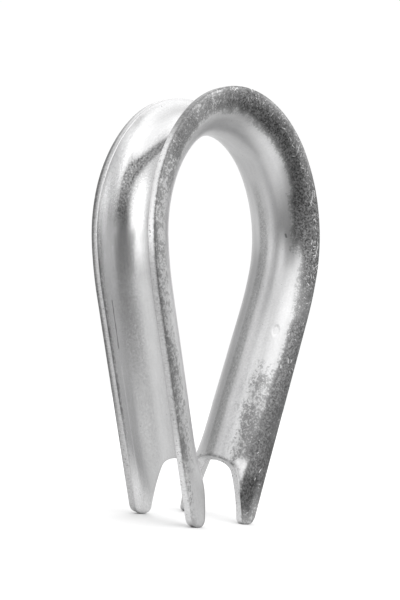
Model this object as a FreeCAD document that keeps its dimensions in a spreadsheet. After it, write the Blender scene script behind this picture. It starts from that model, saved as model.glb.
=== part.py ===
import FreeCAD, Part

import math
import os

import Sketcher

# Wire rope thimble: one strip of sheet steel, pressed into a U-shaped channel and bent into a teardrop.
# The groove faces outwards and holds the rope, and the rounded back faces the eye.
# Frame: millimetres, +Z up. The teardrop lies in the XZ plane and the groove's width runs along Y.
# The origin is on the standing surface, midway between the four tips.

SIZES = [
    # alias, value, what it measures
    ("overall_height", 60.0, "from the tips to the top of the crown's rims"),
    ("foot_spread", 12.9, "between the rims of the two legs, at the height of the tips"),
    ("crown_radius", 17.0, "rim outline round the top"),
    ("shoulder_radius", 22.0, "rim outline beside the eye"),
    ("flank_radius", 46.0, "rim outline where the shoulder runs into the leg"),
    ("shoulder_angle", 50.0, "turn of the shoulder arc, degrees"),
    ("flank_angle", 9.0, "turn of the flank arc, degrees"),
    ("channel_width", 11.6, "across the outside of the two flanges"),
    ("channel_depth", 6.0, "from the rims to the outside of the back"),
    ("sheet_thickness", 1.2, "the strip's own thickness"),
    ("tip_width", 2.3, "the tongue left of each flange, along X at its end"),
    ("notch_height", 9.2, "from the tips to the top of the arched notch"),
    ("notch_corner_radius", 2.3, "the arch's two upper corners"),
    ("tip_inner_radius", 0.7, "corner of a tip on the notch's side"),
    ("tip_outer_radius", 1.5, "corner of a tip on the rim's side"),
    ("rolled_edge", 0.2, "softened corner that blanking leaves along the groove's side of the sheet"),
    ("trim_allowance", 3.0, "strip beyond the tips that the end cut takes off"),
]
# The outline is first drawn with the leg at this angle to the vertical, in degrees, and its
# constraints then find the true one.
FIRST_LEAN_ANGLE = 18.0
SAME = 1e-4


def make_sheet(doc):
    """Put each driving dimension in a cell of its own, with its alias."""
    sheet = doc.addObject("Spreadsheet::Sheet", "sizes")
    for row, (alias, value, meaning) in enumerate(SIZES, start=1):
        sheet.set(f"A{row}", alias)
        sheet.set(f"B{row}", str(value))
        sheet.set(f"C{row}", meaning)
        sheet.setAlias(f"B{row}", alias)
    doc.recompute()
    return sheet


def origin_plane(body, role):
    """One of the body's own origin planes, by its role."""
    return next(item for item in body.Origin.OriginFeatures if item.Role == role)


def new_sketch(body, name, role):
    """An empty sketch on one of the body's origin planes."""
    sketch = body.newObject("Sketcher::SketchObject", name)
    sketch.AttachmentSupport = [(origin_plane(body, role), "")]
    sketch.MapMode = "FlatFace"
    return sketch


def arc(center, radius, start, end):
    """Counter-clockwise arc in a sketch, with its angles in degrees."""
    circle = Part.Circle(center, FreeCAD.Vector(0, 0, 1), radius)
    return Part.ArcOfCircle(circle, math.radians(start), math.radians(end))


def line(start, end):
    """Straight sketch line between two points."""
    return Part.LineSegment(FreeCAD.Vector(*start, 0), FreeCAD.Vector(*end, 0))


def bind(sketch, kind, *parts, name, formula):
    """Add a driving dimension to a sketch and tie it to the sheet."""
    index = sketch.addConstraint(Sketcher.Constraint(kind, *parts))
    sketch.renameConstraint(index, name)
    sketch.setExpression(f"Constraints.{name}", formula)


def fix(sketch, kind, *parts):
    """Add a geometric constraint to a sketch."""
    sketch.addConstraint(Sketcher.Constraint(kind, *parts))


def draw_outline(body, sheet):
    """Right half of the rims' outline: crown, shoulder and flank arcs, then the straight leg."""
    sketch = new_sketch(body, "rim_outline", "XZ_Plane")
    radii = [sheet.crown_radius, sheet.shoulder_radius, sheet.flank_radius]
    later = sheet.shoulder_angle + sheet.flank_angle
    turns = [90 + FIRST_LEAN_ANGLE - later, sheet.shoulder_angle, sheet.flank_angle]

    center = FreeCAD.Vector(0, sheet.overall_height - radii[0], 0)
    angle = 90.0
    for place, (radius, turn) in enumerate(zip(radii, turns)):
        if place > 0:
            towards = FreeCAD.Vector(math.cos(math.radians(angle)), math.sin(math.radians(angle)), 0)
            center = center + towards * (radii[place - 1] - radius)
        sketch.addGeometry(arc(center, radius, angle - turn, angle))
        angle -= turn
    knee = sketch.Geometry[2].StartPoint
    foot = FreeCAD.Vector(sheet.foot_spread / 2, 0, 0)
    past_foot = (foot - knee).normalize() * sheet.trim_allowance
    sketch.addGeometry(Part.LineSegment(knee, foot + past_foot))
    sketch.addGeometry(Part.Point(foot), True)

    fix(sketch, "PointOnObject", 0, 3, -2)
    fix(sketch, "PointOnObject", 0, 2, -2)
    fix(sketch, "Tangent", 0, 1, 1, 2)
    fix(sketch, "Tangent", 1, 1, 2, 2)
    fix(sketch, "Tangent", 2, 1, 3, 1)
    fix(sketch, "PointOnObject", 4, 1, 3)
    fix(sketch, "PointOnObject", 4, 1, -1)
    bind(sketch, "Radius", 0, radii[0], name="crown", formula="sizes.crown_radius")
    bind(sketch, "Radius", 1, radii[1], name="shoulder", formula="sizes.shoulder_radius")
    bind(sketch, "Radius", 2, radii[2], name="flank", formula="sizes.flank_radius")
    bind(sketch, "Angle", 1, math.radians(turns[1]), name="shoulder_turn",
         formula="sizes.shoulder_angle * 1 deg")
    bind(sketch, "Angle", 2, math.radians(turns[2]), name="flank_turn",
         formula="sizes.flank_angle * 1 deg")
    bind(sketch, "DistanceY", -1, 1, 0, 2, sheet.overall_height, name="height",
         formula="sizes.overall_height")
    bind(sketch, "DistanceX", -1, 1, 4, 1, foot.x, name="foot", formula="sizes.foot_spread / 2")
    bind(sketch, "DistanceY", 3, 2, -1, 1, sheet.trim_allowance, name="allowance",
         formula="sizes.trim_allowance")
    return sketch


def draw_section(body, sheet):
    """The U-shaped section at the crown: two arcs about one centre, closed by the two rims."""
    sketch = new_sketch(body, "channel_section", "YZ_Plane")
    outer = sheet.channel_width / 2
    inner = outer - sheet.sheet_thickness
    top = sheet.overall_height
    center = FreeCAD.Vector(0, top - sheet.channel_depth + outer, 0)
    sketch.addGeometry(arc(center, outer, -180, 0))
    sketch.addGeometry(arc(center, inner, -180, 0))
    sketch.addGeometry(line((-outer, top), (-inner, top)))
    sketch.addGeometry(line((inner, top), (outer, top)))

    fix(sketch, "PointOnObject", 0, 3, -2)
    fix(sketch, "Coincident", 0, 3, 1, 3)
    fix(sketch, "Coincident", 0, 1, 2, 1)
    fix(sketch, "Coincident", 1, 1, 2, 2)
    fix(sketch, "Coincident", 1, 2, 3, 1)
    fix(sketch, "Coincident", 0, 2, 3, 2)
    fix(sketch, "Horizontal", 2)
    fix(sketch, "Horizontal", 3)
    fix(sketch, "Horizontal", 0, 1, 0, 2)
    bind(sketch, "Radius", 0, outer, name="back", formula="sizes.channel_width / 2")
    bind(sketch, "Radius", 1, inner, name="groove",
         formula="sizes.channel_width / 2 - sizes.sheet_thickness")
    bind(sketch, "DistanceY", -1, 1, 0, 3, center.y, name="center_height",
         formula="sizes.overall_height - sizes.channel_depth + sizes.channel_width / 2")
    bind(sketch, "DistanceY", -1, 1, 3, 2, top, name="rim_height", formula="sizes.overall_height")
    return sketch


def draw_end_cut(body, sheet):
    """What the end cut takes off: all below the tips, and the arch between them."""
    sketch = new_sketch(body, "end_outline", "XZ_Plane")
    half = sheet.foot_spread / 2 - sheet.tip_width
    radius = sheet.notch_corner_radius
    crest = sheet.notch_height
    reach = sheet.foot_spread
    floor = -2 * sheet.trim_allowance

    sketch.addGeometry(line((-reach, floor), (reach, floor)))
    sketch.addGeometry(line((reach, floor), (reach, 0)))
    sketch.addGeometry(line((reach, 0), (half, 0)))
    sketch.addGeometry(line((half, 0), (half, crest - radius)))
    sketch.addGeometry(arc(FreeCAD.Vector(half - radius, crest - radius, 0), radius, 0, 90))
    sketch.addGeometry(line((half - radius, crest), (radius - half, crest)))
    sketch.addGeometry(arc(FreeCAD.Vector(radius - half, crest - radius, 0), radius, 90, 180))
    sketch.addGeometry(line((-half, crest - radius), (-half, 0)))
    sketch.addGeometry(line((-half, 0), (-reach, 0)))
    sketch.addGeometry(line((-reach, 0), (-reach, floor)))

    for first, second in [(0, 1), (1, 2), (2, 3), (7, 8), (8, 9), (9, 0)]:
        fix(sketch, "Coincident", first, 2, second, 1)
    fix(sketch, "Tangent", 3, 2, 4, 1)
    fix(sketch, "Tangent", 4, 2, 5, 1)
    fix(sketch, "Tangent", 5, 2, 6, 1)
    fix(sketch, "Tangent", 6, 2, 7, 1)
    for level in (2, 5, 8):
        fix(sketch, "Horizontal", level)
    for upright in (1, 3, 7, 9):
        fix(sketch, "Vertical", upright)
    fix(sketch, "PointOnObject", 2, 2, -1)
    fix(sketch, "Symmetric", 2, 2, 7, 2, -2)
    fix(sketch, "Symmetric", 0, 1, 0, 2, -2)
    fix(sketch, "Equal", 4, 6)
    bind(sketch, "DistanceX", -1, 1, 2, 2, half, name="notch_side",
         formula="sizes.foot_spread / 2 - sizes.tip_width")
    bind(sketch, "Radius", 4, radius, name="notch_corner", formula="sizes.notch_corner_radius")
    bind(sketch, "DistanceY", -1, 1, 5, 1, crest, name="notch_crest", formula="sizes.notch_height")
    bind(sketch, "DistanceX", -1, 1, 0, 2, reach, name="reach", formula="sizes.foot_spread")
    bind(sketch, "DistanceY", 0, 2, -1, 1, -floor, name="depth", formula="2 * sizes.trim_allowance")
    return sketch


def near(value, target):
    """Whether two lengths are the same."""
    return abs(value - target) < SAME


def tip_corners(shape, side):
    """The short edges through the sheet, at the foot of each tip, that lie this far to either side."""
    found = []
    for number, edge in enumerate(shape.Edges, start=1):
        ends = [vertex.Point for vertex in edge.Vertexes]
        if all(near(end.z, 0) and near(abs(end.x), side) for end in ends):
            found.append(f"Edge{number}")
    return found


def swept_radius(face):
    """Section radius of a face that the channel's arcs swept, or None for any other face."""
    surface = face.Surface
    if isinstance(surface, Part.Toroid):
        return surface.MinorRadius
    if isinstance(surface, Part.Cylinder) and near(surface.Axis.y, 0):
        return surface.Radius
    return None


def groove_edges(shape, radius):
    """The one loop of edges where the groove meets the rims, the tips and the notches."""
    groove = [face for face in shape.Faces if near(swept_radius(face) or 0, radius)]
    found = []
    for number, edge in enumerate(shape.Edges, start=1):
        sides = [face for face in groove if any(edge.isSame(other) for other in face.Edges)]
        if len(sides) == 1:
            found.append(f"Edge{number}")
    return found


def check(doc, shape):
    """Stop if any object failed or the solid isn't sound."""
    for item in doc.Objects:
        if {"Invalid", "Error"} & set(item.State):
            raise RuntimeError(f"{item.Name} failed: {item.State}")
    if shape.isNull() or not shape.isValid() or len(shape.Solids) != 1:
        raise RuntimeError("the thimble is not one valid solid")


def build_thimble(doc, sheet):
    """Sweep the channel, mirror it, cut its ends, round their corners and soften the groove's edge."""
    body = doc.addObject("PartDesign::Body", "thimble")
    body.Label = "thimble"
    outline = draw_outline(body, sheet)
    section = draw_section(body, sheet)
    doc.recompute()

    channel = body.newObject("PartDesign::AdditivePipe", "half_channel")
    channel.Profile = section
    channel.Spine = outline
    doc.recompute()

    both = body.newObject("PartDesign::Mirrored", "whole_channel")
    both.Originals = [channel]
    both.MirrorPlane = (origin_plane(body, "YZ_Plane"), [""])
    body.Tip = both
    doc.recompute()

    ends = draw_end_cut(body, sheet)
    cut = body.newObject("PartDesign::Pocket", "end_cut")
    cut.Profile = ends
    cut.Type = "ThroughAll"
    cut.Midplane = True
    doc.recompute()
    if cut.Shape.Volume >= both.Shape.Volume:
        raise RuntimeError("the end cut took nothing off")

    half = sheet.foot_spread / 2
    for name, side, alias in [
        ("tip_inner_corners", half - sheet.tip_width, "tip_inner_radius"),
        ("tip_outer_corners", half, "tip_outer_radius"),
    ]:
        base = body.Tip
        corners = body.newObject("PartDesign::Fillet", name)
        corners.Base = (base, tip_corners(base.Shape, side))
        corners.setExpression("Radius", f"sizes.{alias}")
        doc.recompute()

    base = body.Tip
    groove = sheet.channel_width / 2 - sheet.sheet_thickness
    edge = body.newObject("PartDesign::Chamfer", "rolled_edge")
    edge.Base = (base, groove_edges(base.Shape, groove))
    edge.setExpression("Size", "sizes.rolled_edge")
    doc.recompute()
    return body


def main():
    doc = FreeCAD.newDocument("thimble_part")
    sheet = make_sheet(doc)
    body = build_thimble(doc, sheet)
    check(doc, body.Shape)
    os.makedirs("parts", exist_ok=True)
    body.Shape.exportStep(f"parts/{body.Label}.step")
    box = body.Shape.optimalBoundingBox()
    print(f"thimble: {box.XLength:.2f} x {box.YLength:.2f} x {box.ZLength:.2f} mm, "
          f"{body.Shape.Volume:.0f} mm3, {len(body.Shape.Faces)} faces")


main()
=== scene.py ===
# %% [markdown]
# A wire rope thimble, pressed from one strip of sheet steel
# The real thing starts as a flat blank: a strip with a notch and two rounded tongues at each end. A press
# turns the strip into a channel, and a former bends the channel into a teardrop round the rope's eye.
# This script makes it in the same order, because each step is then simple by itself: a flat mesh with true
# edges, a small node tree that presses and bends it, and a zinc finish that follows the strip.

# %% Load the frame
import math

import bpy
import numpy as np
from mathutils import Matrix, Vector
from mathutils.geometry import delaunay_2d_cdt


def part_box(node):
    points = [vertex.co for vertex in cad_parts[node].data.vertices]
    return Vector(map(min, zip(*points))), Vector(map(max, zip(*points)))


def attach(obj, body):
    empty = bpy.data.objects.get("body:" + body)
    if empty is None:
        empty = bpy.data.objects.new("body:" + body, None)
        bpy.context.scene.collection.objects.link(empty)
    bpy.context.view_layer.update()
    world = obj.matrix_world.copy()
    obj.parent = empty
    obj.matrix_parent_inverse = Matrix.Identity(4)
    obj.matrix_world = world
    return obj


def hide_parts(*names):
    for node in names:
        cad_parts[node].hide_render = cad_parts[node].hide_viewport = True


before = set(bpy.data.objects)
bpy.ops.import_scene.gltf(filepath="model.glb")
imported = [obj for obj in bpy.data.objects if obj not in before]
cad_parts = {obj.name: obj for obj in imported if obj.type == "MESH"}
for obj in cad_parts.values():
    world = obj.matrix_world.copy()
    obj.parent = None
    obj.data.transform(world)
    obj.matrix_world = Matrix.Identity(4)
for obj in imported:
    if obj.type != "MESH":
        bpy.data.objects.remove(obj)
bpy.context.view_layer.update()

MM = 0.001
LOW, HIGH = (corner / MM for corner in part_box("thimble"))
print(f"frame: thimble from {tuple(round(v, 2) for v in LOW)} to {tuple(round(v, 2) for v in HIGH)} mm")

# %% [markdown]
# Sizes
# The height and the width across the flanges are read from the frame. The rest are the sizes that the
# toolmaker would set: the arcs of the rims' outline, the sheet, and the end cut. All are in millimetres.

# %% Name the driving sizes
HEIGHT = HIGH.z - LOW.z
CHANNEL_WIDTH = HIGH.y - LOW.y
CHANNEL_DEPTH = 6.0
SHEET = 1.2
FOOT_SPREAD = 12.9
CROWN_RADIUS, SHOULDER_RADIUS, FLANK_RADIUS = 17.0, 22.0, 46.0
SHOULDER_TURN, FLANK_TURN = math.radians(50), math.radians(9)

NOTCH_CREST = {"left": 9.45, "right": 8.85}
NOTCH_RADIUS = 2.3
NOTCH_HALF = 4.15        # the arch's foot, along X from the middle
# How each tongue really sits: the height of its end, its width and its two corner radii there, how much of
# its curl is pressed flat, and how far it is bent along X and Y.
TONGUES = {
    ("left", "front"): dict(level=0.15, width=2.55, corners=(1.7, 1.0), flat=0.7, bent=(0.0, 0.0)),
    ("left", "rear"): dict(level=0.25, width=2.45, corners=(1.7, 0.9), flat=0.0, bent=(0.0, 0.0)),
    ("right", "front"): dict(level=-0.35, width=2.25, corners=(1.5, 0.7), flat=0.0, bent=(0.0, 0.0)),
    ("right", "rear"): dict(level=-0.25, width=2.25, corners=(1.5, 0.8), flat=0.0, bent=(-0.55, 0.3)),
}
BENT_BELOW, STRAIGHT_ABOVE = 3.5, 11.0        # up the leg: where the bending is full, and where it ends
FLAT_OUTSIDE, ROUND_INSIDE = 5.5, 2.5         # across: the same, from the rims in to the middle

MID_RADIUS = (CHANNEL_WIDTH - SHEET) / 2
RISE = CHANNEL_DEPTH - CHANNEL_WIDTH / 2      # from the rims in to the centre of the section
print(f"section: mid radius {MID_RADIUS:.2f}, centre {RISE:.2f} under the rims")

# %% [markdown]
# The line that the strip is bent along
# The rims' outline is three arcs and a straight leg on each side, each tangent to the next. A curve drawn
# by hand would only come near them, so the line is worked out from its radii. How far the crown's arc turns
# isn't a size of its own: it follows from where the leg has to end. So the leg's lean is found by halving an
# interval until the leg's line runs through the foot.

# %% Find the lean of the legs
def half_arcs(lean):
    """Centre, radius, first and last direction of the right half's arcs, crown first."""
    turns = [math.pi / 2 + lean - SHOULDER_TURN - FLANK_TURN, SHOULDER_TURN, FLANK_TURN]
    centre, radius, heading = Vector((0, HEIGHT - CROWN_RADIUS)), CROWN_RADIUS, math.pi / 2
    arcs = []
    for turn, next_radius in zip(turns, [SHOULDER_RADIUS, FLANK_RADIUS, None]):
        arcs.append((centre, radius, heading, heading - turn))
        heading -= turn
        if next_radius:
            towards = Vector((math.cos(heading), math.sin(heading)))
            centre, radius = centre + towards * (radius - next_radius), next_radius
    return arcs


def knee(lean):
    """Where the last arc ends and the straight leg begins."""
    centre, radius, _, heading = half_arcs(lean)[-1]
    return centre + radius * Vector((math.cos(heading), math.sin(heading)))


low_lean, high_lean = math.radians(10), math.radians(30)
while high_lean - low_lean > 1e-9:
    lean = (low_lean + high_lean) / 2
    corner = knee(lean)
    if corner.x - corner.y * math.tan(lean) > FOOT_SPREAD / 2:
        low_lean = lean
    else:
        high_lean = lean
LEAN = lean
LEG = knee(LEAN).y / math.cos(LEAN)
HALF_LENGTH = sum(radius * (start - end) for _, radius, start, end in half_arcs(LEAN)) + LEG
print(f"legs lean {math.degrees(LEAN):.2f} degrees and are straight for {LEG:.2f}")
print(f"half the strip is {HALF_LENGTH:.2f} long")


# %% Draw the bend line
def half_line(step, beyond):
    """Points of the right half, from the crown's middle down past the foot."""
    points = []
    for centre, radius, start, end in half_arcs(LEAN):
        count = math.ceil(radius * (start - end) / step)
        for i in range(count):
            angle = start + (end - start) * i / count
            points.append(centre + radius * Vector((math.cos(angle), math.sin(angle))))
    down = Vector((-math.sin(LEAN), -math.cos(LEAN)))
    points += [knee(LEAN), knee(LEAN) + down * (LEG + beyond)]
    return points


BEYOND = 4.0             # the line runs on past the feet, so that the tongues' depth has room
right_half = half_line(step=0.2, beyond=BEYOND)
bend_points = [Vector((-p.x, p.y)) for p in reversed(right_half)] + right_half[1:]
curve = bpy.data.curves.new("bend_line", "CURVE")
curve.dimensions = "3D"
spline = curve.splines.new("POLY")
spline.points.add(len(bend_points) - 1)
for point, place in zip(spline.points, bend_points):
    point.co = (place.x * MM, 0, place.y * MM, 1)
bend_line = bpy.data.objects.new("bend_line", curve)
bpy.context.scene.collection.objects.link(bend_line)
print(f"bend line: {len(bend_points)} points")

# %% [markdown]
# The blank's outline
# The ends are cut square across the channel, so the cut looks simple from the side: a floor, two rounded
# tip corners and an arch. A Boolean could cut them out of the bent channel, but it leaves long thin
# triangles that shade badly. Laid flat, the same cut becomes a notch between two tongues. Each point of the
# side view has a depth below the rims and a height up the leg, and the depth gives its angle round the
# section. The groove side and the back of the sheet have different radii, so each layer of the sheet gets
# its own outline, and the wall of the notch comes out slanted, as it is on the real one.


# %% Side view of one leg's end
def turned(corner, first, second, radius, count):
    """Points of a rounded corner between two directions that leave it."""
    between = first.angle(second)
    centre = corner + (first + second).normalized() * radius / math.sin(between / 2)
    start = corner + first * radius / math.tan(between / 2) - centre
    end = corner + second * radius / math.tan(between / 2) - centre
    return [centre + radius * start.slerp(end, i / count) for i in range(count + 1)]


def straight(start, end, step):
    """Points between two places, without the places themselves."""
    count = max(1, round((end - start).length / step))
    return [start.lerp(end, i / count) for i in range(1, count)]


UP = Vector((math.sin(LEAN), math.cos(LEAN)))


def leg_place(place):
    """Side view to (up the leg, depth under the rim's line)."""
    away = place - Vector((FOOT_SPREAD / 2, 0))
    return Vector((away.dot(UP), away.y * math.sin(LEAN) - away.x * math.cos(LEAN)))


def tongue_side(leg, flange, step):
    """(up the leg, depth) from the rim round the tip to the foot of the arch."""
    tongue = TONGUES[leg, flange]
    rim_foot = Vector((FOOT_SPREAD / 2 + tongue["level"] * math.tan(LEAN), tongue["level"]))
    notch_foot = Vector((FOOT_SPREAD / 2 - tongue["width"], tongue["level"]))
    spring = Vector((NOTCH_HALF, NOTCH_CREST[leg] - NOTCH_RADIUS))
    outer = turned(rim_foot, UP, Vector((-1, 0)), tongue["corners"][0], 9)
    inner = turned(notch_foot, Vector((1, 0)), (spring - notch_foot).normalized(), tongue["corners"][1], 6)
    places = outer + straight(outer[-1], inner[0], step) + inner
    places += straight(inner[-1], spring, step) + [spring]
    return [leg_place(place) for place in places]


def arch_height(depth, leg):
    """How far up the leg the arch reaches, at a depth under the rims."""
    centre = leg_place(Vector((NOTCH_HALF - NOTCH_RADIUS, NOTCH_CREST[leg] - NOTCH_RADIUS)))
    return centre.x + math.sqrt(max(0.0, NOTCH_RADIUS ** 2 - (depth - centre.y) ** 2))


spring_up, spring_depth = tongue_side("right", "front", 0.3)[-1]
print(f"arch springs {spring_up:.2f} up the leg, {spring_depth:.2f} deep, and tops out at "
      f"{arch_height(CHANNEL_DEPTH, 'right'):.2f}")


# %% The section, round or flattened
RIM_ANGLE = math.pi / 2 + math.asin(RISE / MID_RADIUS)
HALF_STRIP = MID_RADIUS * RIM_ANGLE


def eased(value, start, end):
    """0 before start and 1 after end, with a smooth turn between them. End may be the lower one."""
    share = min(1.0, max(0.0, (value - start) / (end - start)))
    return share * share * (3 - 2 * share)


def depth_at(across, radius, up, flatness):
    """Depth under the rims of one layer, by its place across the strip and how far up the leg it is."""
    flat = flatness * eased(up, STRAIGHT_ABOVE, BENT_BELOW) * eased(across, ROUND_INSIDE, FLAT_OUTSIDE)
    round_depth = RISE + radius * math.cos(across / MID_RADIUS)
    return round_depth + (HALF_STRIP - across - round_depth) * flat


def across_at(depth, radius, up, flatness):
    """Place across the strip that comes to lie at a depth: the same rule, solved by halving."""
    low, high = 0.0, 1.2 * HALF_STRIP
    for _ in range(30):
        across = (low + high) / 2
        if depth_at(across, radius, up, flatness) > depth:
            low = across
        else:
            high = across
    return across


print(f"strip: {2 * HALF_STRIP:.2f} wide from rim to rim")

# %% One layer's closed outline
EDGE_STEP = 0.3
ARCH_COUNT = 24


def notch_half(leg, flange, radius):
    """(up the leg, across) from the rim round the tip and up to the middle of the arch."""
    flatness = TONGUES[leg, flange]["flat"]
    side = [(up, across_at(depth, radius, up, flatness))
            for up, depth in tongue_side(leg, flange, EDGE_STEP)]
    up, spring_across = side[-1]
    for i in range(1, ARCH_COUNT + 1):
        across = spring_across * (1 - i / ARCH_COUNT)
        for _ in range(4):
            up = arch_height(depth_at(across, radius, up, flatness), leg)
        side.append((up, across))
    return side


def end_line(leg, radius):
    """(up the leg, across) of one end, from the front rim round to the rear rim."""
    front = [(up, -across) for up, across in notch_half(leg, "front", radius)]
    return front + notch_half(leg, "rear", radius)[-2::-1]


def layer_outline(radius):
    """Closed outline (along, across) of the strip at one layer of the sheet, counter-clockwise."""
    right = [(HALF_LENGTH - up, across) for up, across in end_line("right", radius)]
    left = [(up - HALF_LENGTH, across) for up, across in end_line("left", radius)]
    left.reverse()
    rear = straight(Vector(right[-1]), Vector(left[0]), EDGE_STEP)
    front = straight(Vector(left[-1]), Vector(right[0]), EDGE_STEP)
    return np.array(right + [tuple(p) for p in rear] + left + [tuple(p) for p in front])


blank = layer_outline(MID_RADIUS + SHEET / 2)
ahead = np.roll(blank, -1, 0)
area = 0.5 * abs((blank[:, 0] * ahead[:, 1] - blank[:, 1] * ahead[:, 0]).sum())
print(f"outline: {len(blank)} points round {area:.0f} square millimetres")

# %% [markdown]
# From outlines to a sheet with true edges
# A sheared edge has three parts. On the groove side the die rolls the corner over, then comes a bright cut
# band, and on the back a torn band ends in a small sharp burr. Solidify would make the wall one plain band.
# So the edge is a stack of rings, each at its own layer and drawn in by its own amount, and each face of the
# sheet is filled with small triangles.

# %% Rings of the sheared edge
ROLLOVER = 0.22
CUT_SLANT = 0.5          # 1 for a cut made across the finished channel, 0 for one made square to the blank
HALF = SHEET / 2
# Each ring: layer (plus is the groove side), and how far it is drawn in from the cut.
RINGS = [(HALF - ROLLOVER * (1 - math.cos(a)), ROLLOVER * (1 - math.sin(a)))
         for a in (0.0, math.pi / 8, math.pi / 4, 3 * math.pi / 8, math.pi / 2)]
RINGS += [(0.25, 0.0), (0.1, 0.0), (-0.08, 0.02), (-0.24, 0.035), (-0.4, 0.04), (-0.53, 0.05)]
RINGS += [(-HALF, 0.09)]


def drawn_in(outline, distance):
    """The outline moved inwards, square to itself."""
    ahead = np.roll(outline, -1, 0) - np.roll(outline, 1, 0)
    inwards = np.stack([-ahead[:, 1], ahead[:, 0]], 1)
    return outline + distance * inwards / np.linalg.norm(inwards, axis=1)[:, None]


rings = [drawn_in(layer_outline(MID_RADIUS - CUT_SLANT * layer), inset) for layer, inset in RINGS]
print(f"edge: {len(rings)} rings of {len(rings[0])} points")


# %% Fill one face of the sheet
def inside(points, outline):
    """Which points lie inside a closed outline."""
    x, y = points[:, 0][:, None], points[:, 1][:, None]
    ax, ay = outline[:, 0], outline[:, 1]
    bx, by = np.roll(ax, -1), np.roll(ay, -1)
    crosses = (ay > y) != (by > y)
    at = ax + (y - ay) * (bx - ax) / np.where(by == ay, 1, by - ay)
    return (crosses & (x < at)).sum(1) % 2 == 1


def edge_distance(points, outline):
    """How far each point lies from the outline's points."""
    parts = [np.sqrt(((part[:, None] - outline[None]) ** 2).sum(2).min(1))
             for part in np.array_split(points, max(1, len(points) // 2000))]
    return np.concatenate(parts)


def filled(outline, along_step, across_step):
    """Points and counter-clockwise triangles that fill an outline. Its own points come first."""
    low, high = outline.min(0), outline.max(0)
    rows = np.arange(low[1], high[1], across_step)
    columns = np.arange(low[0], high[0], along_step)
    grid = np.array([(x + along_step / 2 * (i % 2), y) for i, y in enumerate(rows) for x in columns])
    grid = grid[inside(grid, outline)]
    grid = grid[edge_distance(grid, outline) > 0.7 * across_step]
    places = [Vector(p) for p in outline] + [Vector(p) for p in grid]
    made = delaunay_2d_cdt(places, [], [list(range(len(outline)))], 1, 1e-6)
    if len(made[0]) != len(places):
        raise RuntimeError("the fill lost or added points")
    return np.array(made[0]), np.array(made[2])


ALONG_STEP, ACROSS_STEP = 0.42, 0.36
groove_points, groove_faces = filled(rings[0], ALONG_STEP, ACROSS_STEP)
back_points, back_faces = filled(rings[-1], ALONG_STEP, ACROSS_STEP)
print(f"faces: {len(groove_faces)} triangles on the groove side, {len(back_faces)} on the back")

# %% Join the faces and the edge into one closed blank
ring_size = len(rings[0])
points = [np.column_stack([groove_points, np.full(len(groove_points), HALF)])]
starts = [0]
total = len(groove_points)
for (layer, _), ring in zip(RINGS[1:-1], rings[1:-1]):
    points.append(np.column_stack([ring, np.full(ring_size, layer)]))
    starts.append(total)
    total += ring_size
starts.append(total)
points.append(np.column_stack([back_points, np.full(len(back_points), -HALF)]))
faces = [tuple(int(v) for v in face) for face in groove_faces]
for upper, lower in zip(starts, starts[1:]):
    for i in range(ring_size):
        j = (i + 1) % ring_size
        faces.append((upper + j, upper + i, lower + i, lower + j))
faces += [tuple(int(v) + starts[-1] for v in face[::-1]) for face in back_faces]
points = np.concatenate(points)

sheet_mesh = bpy.data.meshes.new("blank")
sheet_mesh.from_pydata((points * MM).tolist(), [], faces)
inset = sheet_mesh.attributes.new("edge_distance", "FLOAT", "POINT")
inset.data.foreach_set("value", edge_distance(points[:, :2], blank).astype(np.float32))
flatness = sheet_mesh.attributes.new("flatness", "FLOAT", "POINT")
bent = sheet_mesh.attributes.new("bent", "FLOAT_VECTOR", "POINT")
for i, (along, across, _) in enumerate(points):
    tongue = TONGUES["left" if along < 0 else "right", "front" if across < 0 else "rear"]
    share = eased(abs(across), ROUND_INSIDE, FLAT_OUTSIDE)
    flatness.data[i].value = tongue["flat"] * share
    bent.data[i].vector = Vector((tongue["bent"][0], tongue["bent"][1], 0)) * share * MM
sheet = bpy.data.objects.new("blank", sheet_mesh)
bpy.context.scene.collection.objects.link(sheet)
print(f"blank: {len(points)} points, {len(faces)} faces")

# %% [markdown]
# Press and bend with a node tree
# A Curve modifier could bend a straight channel, but it couldn't press one tongue flatter than the others.
# A channel bent along a line follows a rule, so Geometry Nodes form the blank. The tree reads each point's
# place on the flat blank: across the strip gives the angle round the section, the layer gives the radius,
# and along the strip gives the place on the bend line. The flat place is stored first, because the finish
# follows the strip and not the room.


# %% Helpers for building node trees
def socket(tree, name, kind, default=None, output=False):
    """A named input or output of a tree or group."""
    made = tree.interface.new_socket(name, in_out="OUTPUT" if output else "INPUT", socket_type=kind)
    if default is not None:
        made.default_value = default


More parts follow.
